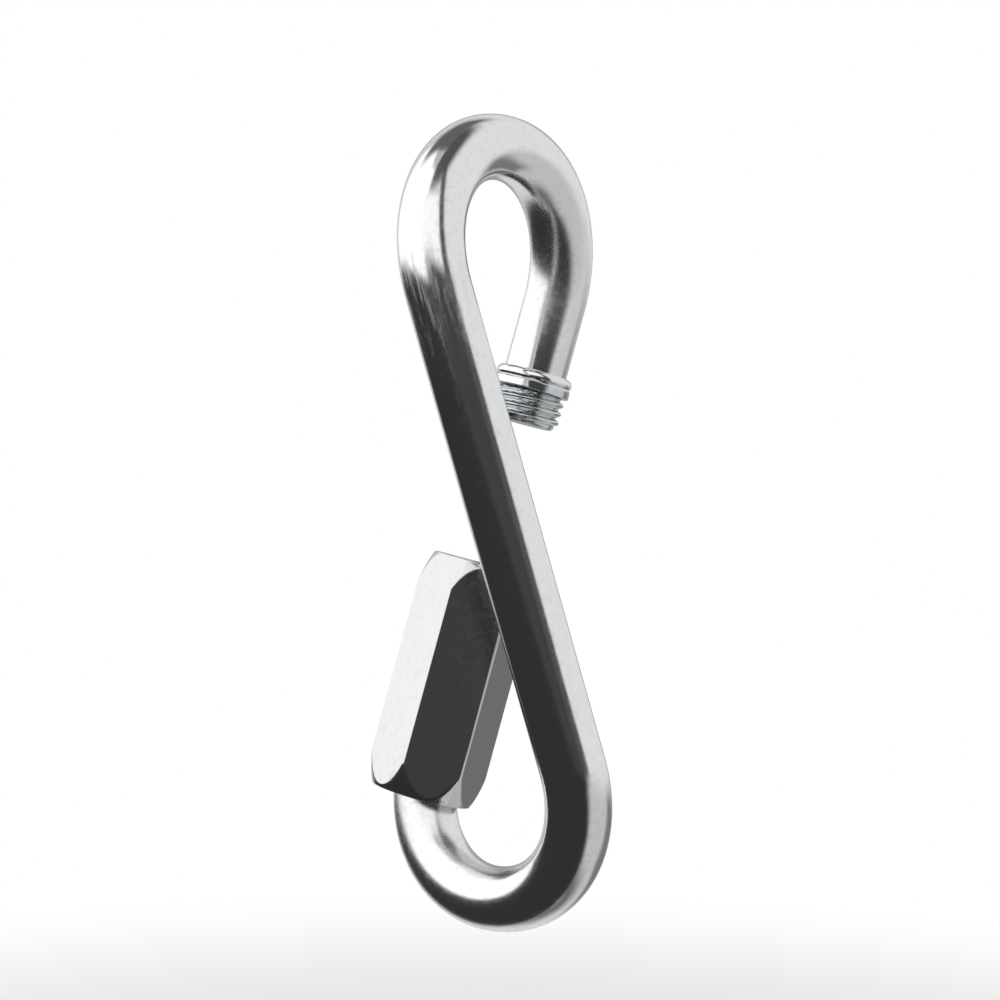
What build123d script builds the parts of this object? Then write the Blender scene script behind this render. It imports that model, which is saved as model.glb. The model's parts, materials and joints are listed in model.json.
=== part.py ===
"""Screw-lock quick link with a quarter twist: a bent round bar and its long hexagonal sleeve nut.

The frame: +Z is the pull axis and points up. The origin is the inside of the upper bow's crown,
where the load bears. The upper bow lies in the XZ plane. The lower bow lies a quarter turn round
the pull axis from it, so one leg runs from the left of the upper bow to the front of the lower
bow, and the other runs from its right to the back. That second leg is cut: its two ends are
threaded, face each other across the mouth, and are bridged by the nut.

A place along the threaded leg is called a station. It is measured along the leg's own axis from
the leg's middle, positive towards the upper bow. All sizes are in millimetres and degrees.
"""
from build123d import *
from math import ceil, floor, cos, radians, sin, sqrt, tan
import os

os.makedirs("parts", exist_ok=True)

# ---------------------------------------------------------------- driving dimensions: the bar
rod_diameter = 7.0          # round bar the link is bent from
inside_length = 73.8        # crown to crown, inside the bows, along the pull axis
twist = 90.0                # turn between the planes of the two bows
bow_reach = 16.6            # pull axis to the point where a bow's side and crown tangents meet
nut_bend_reach = 13.9       # the same on the lower bow's threaded side, which is bent tighter

# ---------------------------------------------------------------- driving dimensions: the screw
thread_pitch = 1.0
ridge_per_pitch = 0.5       # height of the rolled ridge above the rod, per unit of pitch
thread_flank = 30.0         # slope of each flank from the plane square to the leg
thread_clearance = 0.10     # running gap between the ridge and the nut's groove, on every side
bore_clearance = 0.12       # radial gap between the plain rod and the nut's bore
tip_chamfer = 0.7           # bevel on each threaded end
upper_thread_length = 3.75
lower_thread_length = 8.0

collar_height = 0.8         # upset shoulder above the rod, which the closed nut seats against
collar_length = 2.2
collar_round = 0.7          # rounding of its upper edge
collar_groove_depth = 0.2   # shallow ring turned round its middle
collar_groove_width = 0.5
collar_to_bend = 8.0        # plain rod between the collar and the upper bend
seat_gap = 0.05             # left between the closed nut and the collar

# ---------------------------------------------------------------- driving dimensions: the nut
nut_length = 26.8
nut_wall = 1.65             # from the root of the nut's groove to its flats
nut_overhang = 3.9          # the open nut reaches this far over the start of the lower bend
nut_turn = 31.8             # turn of its flats about the leg at rest
rim_setback = 0.25          # how far each end face's rim lies inside the flats
end_taper = 15.0            # half angle of the cone that rounds each end of the hexagon
end_crown = 0.03            # the cone bulges this far, as a turned and plated edge does
tip_recess = 0.4            # the lower threaded end lies this far below the nut's upper face
mouth_lead = 0.5            # the nut's wide mouth ends this far past the start of the bend
mouth_clearance = 0.20      # between that mouth's edge and the bent rod
lip_share = 0.85            # of the end cone's full ring, taken by the lower lip

# ---------------------------------------------------------------- allowances for making
root_overlap = 0.1          # a ridge, groove or collar is sunk this far past the face it stands on
cone_margin = 0.3           # the nut's round blank stands this far outside its corners
end_stock = 2.0             # spare rod at each threaded end, cut off once the thread is on

# ---------------------------------------------------------------- sizes that follow
rod_radius = rod_diameter / 2
crest_radius = rod_radius + ridge_per_pitch * thread_pitch
groove_radius = crest_radius + thread_clearance
bore_radius = rod_radius + bore_clearance
collar_radius = rod_radius + collar_height
across_flats = 2 * (groove_radius + nut_wall)
rim_radius = across_flats / 2 - rim_setback
corner_radius = across_flats / sqrt(3)
lip_height = lip_share * rim_setback / tan(radians(end_taper))
blank_radius = corner_radius + cone_margin
cone_length = (blank_radius - rim_radius) / tan(radians(end_taper))
crest_width = thread_pitch / 8

# ---------------------------------------------------------------- the bar's centreline
upper_apex = Vector(0, 0, rod_radius)
lower_apex = Vector(0, 0, -inside_length - rod_radius)
upper_across = Vector(1, 0, 0)
lower_across = Vector(cos(radians(twist)), -sin(radians(twist)), 0)

upper_solid_corner = upper_apex - upper_across * bow_reach
upper_screw_corner = upper_apex + upper_across * bow_reach
lower_solid_corner = lower_apex + lower_across * bow_reach
lower_screw_corner = lower_apex - lower_across * nut_bend_reach

solid_axis = (upper_solid_corner - lower_solid_corner).normalized()
screw_axis = (upper_screw_corner - lower_screw_corner).normalized()
screw_middle = (upper_screw_corner + lower_screw_corner) * 0.5
solid_middle = (upper_solid_corner + lower_solid_corner) * 0.5
screw_leg = Plane(origin=screw_middle, x_dir=screw_middle - solid_middle, z_dir=screw_axis)
# Turned shapes are drawn in this plane as (radius, station) and revolved about the leg's axis.
turning_plane = Plane(origin=screw_middle, x_dir=screw_leg.x_dir, z_dir=screw_leg.y_dir * -1)
turning_axis = Axis(screw_middle, screw_axis)

# The stations of the threaded leg, upwards from the lower bend.
half_leg = (upper_screw_corner - lower_screw_corner).length / 2
lower_bend_start = nut_bend_reach - half_leg
upper_bend_start = half_leg - bow_reach
nut_bottom = lower_bend_start - nut_overhang
lip_top = nut_bottom + lip_height
nut_top = nut_bottom + nut_length
lower_tip = nut_top - tip_recess
collar_top = upper_bend_start - collar_to_bend
collar_seat = collar_top - collar_length
upper_tip = collar_seat - upper_thread_length
nut_travel = collar_seat - seat_gap - nut_top
print(f"nut travel {nut_travel:.4f} mm, which is {nut_travel / thread_pitch:.4f} turns")

# The nut's lower mouth is bored out to clear the rod, which bends towards the inside of the bow.
nut_bend_turn = screw_axis.get_angle(lower_across * -1)
nut_bend_radius = nut_bend_reach / tan(radians(nut_bend_turn) / 2)
bend_inner_radius = nut_bend_radius - rod_radius
mouth_top = lower_bend_start - mouth_lead
mouth_radius = nut_bend_radius - sqrt(bend_inner_radius**2 - nut_overhang**2) + mouth_clearance


def station(distance):
    """The point of the threaded leg's axis at a station."""
    return screw_middle + screw_axis * distance


def whole_turn(distance, rounding):
    """The nearest station, rounded down or up, at which every thread passes the same angle."""
    return rounding(distance / thread_pitch) * thread_pitch


def helical_bar(start, end, inner, outer, outer_width):
    """A trapezoid swept round the threaded leg: a thread's ridge, or the cutter of its groove."""
    inner_width = outer_width + 2 * (outer - inner) * tan(radians(thread_flank))
    with BuildPart() as bar:
        with BuildLine() as path:
            Helix(thread_pitch, end - start, inner, center=station(start), direction=screw_axis)
        section = Plane(
            origin=path.line @ 0,
            x_dir=(path.line @ 0) - station(start),
            z_dir=path.line % 0,
        )
        with BuildSketch(section):
            with BuildLine():
                Polyline(
                    (0, -inner_width / 2),
                    (outer - inner, -outer_width / 2),
                    (outer - inner, outer_width / 2),
                    (0, inner_width / 2),
                    close=True,
                )
            make_face()
        sweep(path=path.line, is_frenet=True)
    return bar.part


def tip_cutter(tip, away):
    """What lies past a threaded end and outside its bevel. `away` is +1 or -1 along the leg."""
    bevel_foot = crest_radius - tip_chamfer
    reach = end_stock + thread_pitch
    side = Plane(origin=station(tip), x_dir=screw_leg.x_dir, z_dir=screw_leg.y_dir * -away)
    with BuildPart() as cutter:
        with BuildSketch(side):
            with BuildLine():
                Polyline(
                    (0, 0),
                    (bevel_foot, 0),
                    (bevel_foot + reach, -reach),
                    (bevel_foot + reach, reach),
                    (0, reach),
                    close=True,
                )
            make_face()
        revolve(axis=Axis(station(tip), screw_axis))
    return cutter.part


# ---------------------------------------------------------------- the bent bar
# One smooth centreline: straight, crown, straight, crown, straight, each bend tangent to both
# of its neighbours and the two bends of a bow meeting on the pull axis.
upper_screw_bend = upper_screw_corner - screw_axis * bow_reach
upper_solid_bend = upper_solid_corner - solid_axis * bow_reach
lower_solid_bend = lower_solid_corner + solid_axis * bow_reach
lower_screw_bend = lower_screw_corner + screw_axis * nut_bend_reach

# The bar is cut overlong and its ends are turned back with their bevels once they are threaded.
with BuildLine() as centreline:
    Line(station(upper_tip - end_stock), upper_screw_bend)
    TangentArc(upper_screw_bend, upper_apex, tangent=screw_axis)
    TangentArc(upper_apex, upper_solid_bend, tangent=upper_across * -1)
    Line(upper_solid_bend, lower_solid_bend)
    TangentArc(lower_solid_bend, lower_apex, tangent=solid_axis * -1)
    TangentArc(lower_apex, lower_screw_bend, tangent=lower_across * -1)
    Line(lower_screw_bend, station(lower_tip + end_stock))

ridge_foot = rod_radius - root_overlap
upper_ridge = helical_bar(
    whole_turn(upper_tip, floor) - thread_pitch,
    collar_seat + thread_pitch / 2,
    ridge_foot,
    crest_radius,
    crest_width,
)
lower_ridge = helical_bar(
    whole_turn(lower_tip - lower_thread_length, ceil),
    lower_tip + thread_pitch,
    ridge_foot,
    crest_radius,
    crest_width,
)

with BuildPart() as link_bar:
    with BuildSketch(Plane(origin=station(upper_tip - end_stock), z_dir=screw_axis)):
        Circle(rod_radius)
    sweep(path=centreline.line)
    add(upper_ridge)
    add(lower_ridge)
    add(tip_cutter(upper_tip, -1), mode=Mode.SUBTRACT)
    add(tip_cutter(lower_tip, 1), mode=Mode.SUBTRACT)
    # The collar: a short drum with a rounded upper edge and a ring turned round its middle.
    groove_middle = collar_seat + collar_length / 2
    groove_foot = collar_radius - collar_groove_depth
    with BuildSketch(turning_plane):
        with BuildLine():
            Polyline(
                (ridge_foot, collar_seat),
                (collar_radius, collar_seat),
                (collar_radius, groove_middle - collar_groove_width / 2),
                (groove_foot, groove_middle),
                (collar_radius, groove_middle + collar_groove_width / 2),
                (collar_radius, collar_top - collar_round),
            )
            RadiusArc(
                (collar_radius, collar_top - collar_round),
                (collar_radius - collar_round, collar_top),
                -collar_round,
            )
            Polyline(
                (collar_radius - collar_round, collar_top),
                (ridge_foot, collar_top),
                (ridge_foot, collar_seat),
            )
        make_face()
    revolve(axis=turning_axis)
link_bar.part.label = "link_bar"
export_step(link_bar.part, "parts/link_bar.step")


# ---------------------------------------------------------------- the nut
# The blank that the nut is milled from: round, with a long crowned cone down to each end's rim.
with BuildPart() as turned_blank:
    with BuildSketch(turning_plane):
        with BuildLine():
            Line((0, nut_bottom), (rim_radius, nut_bottom))
            SagittaArc(
                (rim_radius, nut_bottom), (blank_radius, nut_bottom + cone_length), -end_crown
            )
            Line((blank_radius, nut_bottom + cone_length), (blank_radius, nut_top - cone_length))
            SagittaArc((blank_radius, nut_top - cone_length), (rim_radius, nut_top), -end_crown)
            Polyline((rim_radius, nut_top), (0, nut_top), (0, nut_bottom))
        make_face()
    revolve(axis=turning_axis)

# The tap: the bore and its helical groove in one cutter, longer than the nut at both ends.
with BuildPart() as tap:
    with BuildSketch(screw_leg.offset(nut_bottom)):
        Circle(bore_radius)
    extrude(amount=nut_length + 2 * thread_pitch)
    add(
        helical_bar(
            whole_turn(mouth_top, floor) - thread_pitch,
            whole_turn(nut_top, ceil) + thread_pitch,
            bore_radius - root_overlap,
            groove_radius,
            crest_width + 2 * thread_clearance * tan(radians(90 - thread_flank) / 2),
        )
    )

with BuildPart() as sleeve_nut:
    with BuildSketch(screw_leg.offset(lip_top)):
        RegularPolygon(across_flats / 2, 6, major_radius=False, rotation=nut_turn)
    extrude(amount=nut_top - lip_top)
    add(turned_blank.part, mode=Mode.INTERSECT)
    add(tap.part, mode=Mode.SUBTRACT)
    with BuildSketch(screw_leg.offset(lip_top)):
        Circle(mouth_radius)
    extrude(amount=mouth_top - lip_top, mode=Mode.SUBTRACT)
sleeve_nut.part.label = "sleeve_nut"
export_step(sleeve_nut.part, "parts/sleeve_nut.step")

# The nut's round lower lip is a turned ring, so it fills the same space at every angle of the nut.
# It is kept apart from the hexagon as the nut's travelling half: the hexagon turns on it.
with BuildPart() as nut_lip:
    with BuildSketch(screw_leg.offset(nut_bottom)):
        Circle(blank_radius)
        Circle(mouth_radius, mode=Mode.SUBTRACT)
    extrude(amount=lip_height)
    add(turned_blank.part, mode=Mode.INTERSECT)
nut_lip.part.label = "nut_lower_lip"
export_step(nut_lip.part, "parts/nut_lower_lip.step")
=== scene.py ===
"""The looks of a screw-lock quick link: a bent, zinc-plated bar and its hexagonal sleeve nut.

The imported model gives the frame: where the two bows bear, how the threaded leg's axis runs and
which way the nut's flats face. Every shape is worked out in the leg's own frame, in millimetres:
its z axis is the threaded leg's axis, and a height on it is called a station. Each finished mesh
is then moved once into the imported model's frame, in metres.
"""

import json
import logging
import math
from collections.abc import Iterator, Sequence
from dataclasses import dataclass, field
from enum import Enum
from typing import Any

import bmesh
import bpy
from mathutils import Matrix, Vector


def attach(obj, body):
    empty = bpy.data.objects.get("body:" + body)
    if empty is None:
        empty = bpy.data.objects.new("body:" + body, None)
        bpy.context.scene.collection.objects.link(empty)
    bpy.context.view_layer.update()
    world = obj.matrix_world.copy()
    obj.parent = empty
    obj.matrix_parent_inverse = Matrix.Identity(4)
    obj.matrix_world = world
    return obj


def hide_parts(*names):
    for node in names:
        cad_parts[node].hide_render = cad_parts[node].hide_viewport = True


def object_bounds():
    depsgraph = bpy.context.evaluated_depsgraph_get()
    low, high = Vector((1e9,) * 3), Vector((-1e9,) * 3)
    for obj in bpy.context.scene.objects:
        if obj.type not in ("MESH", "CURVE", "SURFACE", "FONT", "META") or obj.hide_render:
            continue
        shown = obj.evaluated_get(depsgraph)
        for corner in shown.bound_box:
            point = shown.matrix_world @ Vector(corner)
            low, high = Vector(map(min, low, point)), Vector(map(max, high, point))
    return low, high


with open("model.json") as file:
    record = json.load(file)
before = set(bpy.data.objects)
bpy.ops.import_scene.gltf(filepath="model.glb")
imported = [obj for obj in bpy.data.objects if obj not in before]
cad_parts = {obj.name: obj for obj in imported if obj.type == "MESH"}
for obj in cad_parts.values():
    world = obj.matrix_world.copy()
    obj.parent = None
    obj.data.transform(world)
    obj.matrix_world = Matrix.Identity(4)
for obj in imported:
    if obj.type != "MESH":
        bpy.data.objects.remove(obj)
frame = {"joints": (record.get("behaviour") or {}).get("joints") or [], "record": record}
cad_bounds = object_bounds()

LOG = logging.getLogger("quick_link")
METRES_PER_MM = 0.001
PLACE = "stock_place"       # attribute: where a point lay on the straight stock, in millimetres
THREAD_AND_SHADE = "thread_share"     # attribute: 1 on a thread, 0 on plain metal, and between on the collar, where its darker tint is painted shade
SCUFF = "scuff_share"       # attribute: 1 where the bending rolls marked the bar, 0 elsewhere
SATIN = "satin_share"       # attribute: 1 where the plate is satin, 0 where it is bright
HAIR = 0.01                 # the smallest step between two stations, in millimetres
TINY = 1e-9                 # keeps rounding out of a count, and a zero out of a division
STATION_DIGITS = 5          # stations that agree to so many decimals are one
AXIS_SLACK = 0.01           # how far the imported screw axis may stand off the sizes, in degrees
FLATS = 6                   # of the nut
WHITE = (1.0, 1.0, 1.0, 1.0)
Span = tuple[float, float]
Row = tuple[float, ...]     # a station and the numbers that hold there
Colour = tuple[float, float, float, float]
Sizes = dict[str, float | int]


def new_object(name: str, data: bpy.types.ID) -> bpy.types.Object:
    """Makes an object and puts it in the scene.

    Args:
        name: the object's name.
        data: its mesh, lamp or camera.

    Returns:
        The object.
    """
    made = bpy.data.objects.new(name, data)
    bpy.context.scene.collection.objects.link(made)
    return made


# ---- writing node trees
@dataclass(frozen=True)
class Sock:
    """A node's output socket that can be used in a Python sum."""

    tree: "Tree"
    socket: bpy.types.NodeSocket

    def __add__(self, other: "Operand") -> "Sock":
        """Sum."""
        return self.tree.maths("ADD", self, other)

    def __sub__(self, other: "Operand") -> "Sock":
        """Difference."""
        return self.tree.maths("SUBTRACT", self, other)

    def __rsub__(self, other: "Operand") -> "Sock":
        """Difference from a number on the left."""
        return self.tree.maths("SUBTRACT", other, self)

    def __mul__(self, other: "Operand") -> "Sock":
        """Product."""
        return self.tree.maths("MULTIPLY", self, other)

    def __truediv__(self, other: "Operand") -> "Sock":
        """Quotient."""
        return self.tree.maths("DIVIDE", self, other)

    def __rtruediv__(self, other: "Operand") -> "Sock":
        """Quotient with a number on top."""
        return self.tree.maths("DIVIDE", other, self)

    def __gt__(self, other: "Operand") -> "Sock":
        """1 where this is greater, else 0."""
        return self.tree.maths("GREATER_THAN", self, other)

    __radd__, __rmul__ = __add__, __mul__       # a sum and a product read the same both ways


Operand = Sock | float | int
Settings = dict[str, Any] | None
Values = dict[str | int, Any] | None


@dataclass(frozen=True)
class Tree:
    """A node tree that is being written, for a shape, a finish or the studio's light."""

    nodes: bpy.types.NodeTree

    @classmethod
    def of(cls, owner: bpy.types.Material | bpy.types.World) -> "Tree":
        """An empty tree for a material or a world.

        Args:
            owner: the material or world, which loses the nodes it had.

        Returns:
            The tree.
        """
        owner.use_nodes = True
        owner.node_tree.nodes.clear()
        return cls(owner.node_tree)

    def node(self, kind: str, settings: Settings = None, values: Values = None) -> bpy.types.Node:
        """Makes one node.

        Args:
            kind: the node's type, such as "ShaderNodeMath".
            settings: properties of the node, which are set first.
            values: what each input socket gets, by name or index: a Sock or a plain value.

        Returns:
            The new node.
        """
        made = self.nodes.nodes.new(kind)
        for name, value in (settings or {}).items():
            setattr(made, name, value)
        for name, value in (values or {}).items():
            socket = made.inputs[name]
            if isinstance(value, Sock):
                self.nodes.links.new(value.socket, socket)
            else:
                socket.default_value = value
        return made

    def out(self, made: bpy.types.Node, name: str | int = 0) -> Sock:
        """One of a node's outputs."""
        return Sock(self, made.outputs[name])

    def sock(
        self, kind: str, settings: Settings = None, values: Values = None, out: str | int = 0
    ) -> Sock:
        """Makes one node, as node() does, and gives one of its outputs."""
        return self.out(self.node(kind, settings, values), out)

    def maths(self, operation: str, *operands: Operand) -> Sock:
        """A Math node on numbers."""
        return self.sock("ShaderNodeMath", {"operation": operation}, dict(enumerate(operands)))

    def vector(self, operation: str, *operands: Any, out: str = "Vector") -> Sock:
        """A Vector Math node."""
        values = dict(enumerate(operands))
        return self.sock("ShaderNodeVectorMath", {"operation": operation}, values, out)

    def combine(self, x: Operand, y: Operand, z: Operand) -> Sock:
        """A vector from three numbers."""
        return self.sock("ShaderNodeCombineXYZ", None, {"X": x, "Y": y, "Z": z})

    def separate(self, vector: Sock) -> tuple[Sock, Sock, Sock]:
        """A vector's three numbers."""
        made = self.node("ShaderNodeSeparateXYZ", None, {0: vector})
        return self.out(made, "X"), self.out(made, "Y"), self.out(made, "Z")

    def clamp(self, value: Sock) -> Sock:
        """A number held between 0 and 1."""
        return self.sock("ShaderNodeClamp", None, {"Value": value, "Min": 0.0, "Max": 1.0})

    def smooth_step(self, value: Sock, start: Operand, end: Operand) -> Sock:
        """0 before start, 1 past end, with a smooth rise between them."""
        values = {"Value": value, "From Min": start, "From Max": end}
        return self.sock("ShaderNodeMapRange", {"interpolation_type": "SMOOTHSTEP"}, values)

    def blend(self, share: Sock, first: Operand, second: Operand) -> Sock:
        """A number between two others."""
        return first + (second - first) * share


class ShapeTree(Tree):
    """A Geometry Nodes tree with named inputs."""

    @classmethod
    def start(cls, name: str, sizes: Sizes) -> "ShapeTree":
        """Makes a tree that takes a guide mesh, a material and named sizes.

        Args:
            name: the tree's name.
            sizes: each input's name and its default, an int for a count and a float otherwise.

        Returns:
            The tree, with its group input made.
        """
        group = bpy.data.node_groups.new(name, "GeometryNodeTree")
        face = group.interface
        face.new_socket("Guide", in_out="INPUT", socket_type="NodeSocketGeometry")
        face.new_socket("Finish", in_out="INPUT", socket_type="NodeSocketMaterial")
        for size, default in sizes.items():
            kind = "NodeSocketInt" if isinstance(default, int) else "NodeSocketFloat"
            face.new_socket(size, in_out="INPUT", socket_type=kind).default_value = default
        face.new_socket("Shape", in_out="OUTPUT", socket_type="NodeSocketGeometry")
        tree = cls(group)
        tree.node("NodeGroupInput")
        return tree

    def given(self, name: str) -> Sock:
        """One of the tree's named inputs."""
        source = next(n for n in self.nodes.nodes if n.bl_idname == "NodeGroupInput")
        return self.out(source, name)

    def read(self, attribute: str, data_type: str = "FLOAT") -> Sock:
        """An attribute of the guide or of the shape so far."""
        settings = {"data_type": data_type}
        return self.sock("GeometryNodeInputNamedAttribute", settings, {"Name": attribute})

    def store(self, shape: Sock, attribute: str, value: Sock, data_type: str = "FLOAT") -> Sock:
        """The shape with an attribute written on its points.

        Args:
            shape: the geometry so far.
            attribute: the attribute's name.
            value: what each point gets.
            data_type: FLOAT, or FLOAT_VECTOR where the value is a vector.

        Returns:
            The shape with its attribute.
        """
        settings = {"data_type": data_type, "domain": "POINT"}
        values = {"Geometry": shape, "Name": attribute, "Value": value}
        return self.sock("GeometryNodeStoreNamedAttribute", settings, values)

    def moved_to(self, shape: Sock, place: Sock) -> Sock:
        """The shape with its points put at new places."""
        values = {"Geometry": shape, "Position": place}
        return self.sock("GeometryNodeSetPosition", None, values)

    def end(self, shape: Sock, sharp_angle: float) -> None:
        """Ends the tree: shades it, realizes it, gives it its finish and its output.

        Args:
            shape: the finished geometry.
            sharp_angle: edges that turn by more than this many degrees stay sharp.
        """
        smooth = self.sock("GeometryNodeSetShadeSmooth", {"domain": "FACE"}, {"Geometry": shape})
        turn = self.sock("GeometryNodeInputMeshEdgeAngle", out="Unsigned Angle")
        values = {
            "Geometry": smooth,
            "Selection": turn > math.radians(sharp_angle),
            "Shade Smooth": False,
        }
        sharp = self.sock("GeometryNodeSetShadeSmooth", {"domain": "EDGE"}, values)
        real = self.sock("GeometryNodeRealizeInstances", None, {"Geometry": sharp})
        values = {"Geometry": real, "Material": self.given("Finish")}
        self.node("NodeGroupOutput", None, {0: self.sock("GeometryNodeSetMaterial", None, values)})


# ---- the frame of the threaded leg
@dataclass(frozen=True)
class BarSizes:
    """The bent bar's own sizes, in millimetres."""

    rod_radius: float
    inside_length: float
    bow_reach: float = 16.6         # pull axis to where a bow's side and crown tangents meet
    nut_bend_reach: float = 13.9    # the same on the lower bow's threaded side


@dataclass(frozen=True)
class Bend:
    """A round bend that is tangent to the straight lines on both sides of it."""

    start: Vector
    corner: Vector
    end: Vector

    def places(self, steps: int) -> Iterator[Vector]:
        """Points along the bend, after its start and up to its end.

        Args:
            steps: how many points.

        Yields:
            The points, in order.
        """
        ahead = (self.corner - self.start).normalized()
        leaving = (self.end - self.corner).normalized()
        turn = ahead.angle(leaving)
        radius = (self.corner - self.start).length / math.tan(turn / 2)
        inward = (leaving - ahead * math.cos(turn)).normalized()
        centre = self.start + inward * radius
        for step in range(1, steps + 1):
            angle = turn * step / steps
            yield centre - inward * radius * math.cos(angle) + ahead * radius * math.sin(angle)


class Leg:
    """The threaded leg's frame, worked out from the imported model's mounts and screw axis."""

    def __init__(self, record: dict[str, Any], joints: Sequence[dict[str, Any]]) -> None:
        """Reads the bows, the screw's axis and the nut's flats.

        Args:
            record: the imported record.
            joints: its joints.
        """
        mounts = {mount["name"]: mount for mount in record["mounts"]}
        upper, lower = mounts["upper_bow"], mounts["lower_bow"]
        crown_gap = Vector(upper["pos_m"]) - Vector(lower["pos_m"])
        self.sizes = BarSizes(
            rod_radius=upper["dims"]["r_mm"],
            inside_length=crown_gap.length / METRES_PER_MM,
        )
        sizes = self.sizes
        up = Vector((0, 0, 1))
        across, front = Vector((1, 0, 0)), Vector((0, -1, 0))
        self.upper_apex = up * sizes.rod_radius
        self.lower_apex = -up * (sizes.inside_length + sizes.rod_radius)
        self.upper_solid = self.upper_apex - across * sizes.bow_reach
        self.upper_screw = self.upper_apex + across * sizes.bow_reach
        self.lower_solid = self.lower_apex + front * sizes.bow_reach
        self.lower_screw = self.lower_apex - front * sizes.nut_bend_reach

        axis = (self.upper_screw - self.lower_screw).normalized()
        stated = Vector(next(j["axis"] for j in joints if j["type"] == "slide"))
        if axis.angle(stated.normalized()) > math.radians(AXIS_SLACK):
            raise ValueError("the bar's sizes don't agree with the packed screw axis")
        self.half_length = (self.upper_screw - self.lower_screw).length / 2
        middle = (self.upper_screw + self.lower_screw) / 2
        solid_middle = (self.upper_solid + self.lower_solid) / 2
        sideways = middle - solid_middle
        x_axis = (sideways - axis * sideways.dot(axis)).normalized()
        y_axis = axis.cross(x_axis)
        turned = Matrix((x_axis, y_axis, axis)).transposed().to_4x4()
        self.to_frame = Matrix.Scale(METRES_PER_MM, 4) @ Matrix.Translation(middle) @ turned
        self._to_leg = (Matrix.Translation(middle) @ turned).inverted()

        facing = self._to_leg.to_3x3() @ Vector(mounts["spanner_flat_far"]["axis"])
        self.flat_turn = math.atan2(facing.y, facing.x)

    def inward(self, place: Vector) -> Vector:
        """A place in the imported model's frame, in millimetres, seen from the leg's frame."""
        return self._to_leg @ place


# ---- the screw
@dataclass(frozen=True)
class Screw:
    """The screw's sizes, in millimetres, and the stations that follow from them."""

    leg: Leg
    pitch: float = 1.0
    ridge_height: float = 0.5
    crest_width: float = 0.125
    ridge_half_width: float = 0.42  # of the rolled thread's rounded ridge, inside the nut's groove
    flank: float = 30.0             # slope of a flank from the plane square to the leg, in degrees
    clearance: float = 0.10
    tip_bevel: float = 0.7          # cone at each threaded end
    upper_thread: float = 3.75
    lower_thread: float = 8.0
    nut_length: float = 26.8
    nut_overhang: float = 3.9
    tip_recess: float = 0.4
    collar_length: float = 2.2
    collar_to_bend: float = 8.0

    @property
    def rod(self) -> float:
        """Radius of the plain bar."""
        return self.leg.sizes.rod_radius

    @property
    def crest(self) -> float:
        """Radius of the bar's thread."""
        return self.rod + self.ridge_height

    @property
    def lower_bend(self) -> float:
        """Station where the lower bend starts."""
        return self.leg.sizes.nut_bend_reach - self.leg.half_length

    @property
    def upper_bend(self) -> float:
        """Station where the upper bend starts."""
        return self.leg.half_length - self.leg.sizes.bow_reach

    @property
    def nut(self) -> Span:
        """Stations of the nut's two end faces, with the nut at rest."""
        bottom = self.lower_bend - self.nut_overhang
        return bottom, bottom + self.nut_length

    @property
    def lower_tip(self) -> float:
        """Station of the lower threaded end."""
        return self.nut[1] - self.tip_recess

    @property
    def collar(self) -> Span:
        """Stations of the collar's seat and top."""
        top = self.upper_bend - self.collar_to_bend
        return top - self.collar_length, top

    @property
    def upper_tip(self) -> float:
        """Station of the upper threaded end."""
        return self.collar[0] - self.upper_thread

    def off_crest(self, tree: Tree, angle: Sock, station: Sock) -> Sock:
        """Distance along the leg, at an angle in radians, to the nearest crest's middle."""
        turns = station / self.pitch - angle / math.tau
        return tree.maths("ABSOLUTE", tree.maths("FRACT", turns) - 0.5) * self.pitch

    def flank_height(self, off_crest: Sock) -> Sock:
        """Height of an endless flank below or above the crest, at a distance from its middle."""
        return (self.crest_width / 2 - off_crest) / math.tan(math.radians(self.flank))


# ---- finishes
class Wear(Enum):
    """How steel was worked before it was plated: the height of its ripples and of its mottle."""

    DRAWN = (0.010, 0.0028)     # round bar, with soft ripples from the bending rolls
    MILLED = (0.002, 0.0012)    # the hexagon's even flats

    @property
    def ripple_height(self) -> float:
        """Height of the ripples, in millimetres."""
        return self.value[0]

    @property
    def mottle_height(self) -> float:
        """Height of the mottle, in millimetres."""
        return self.value[1]


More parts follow.
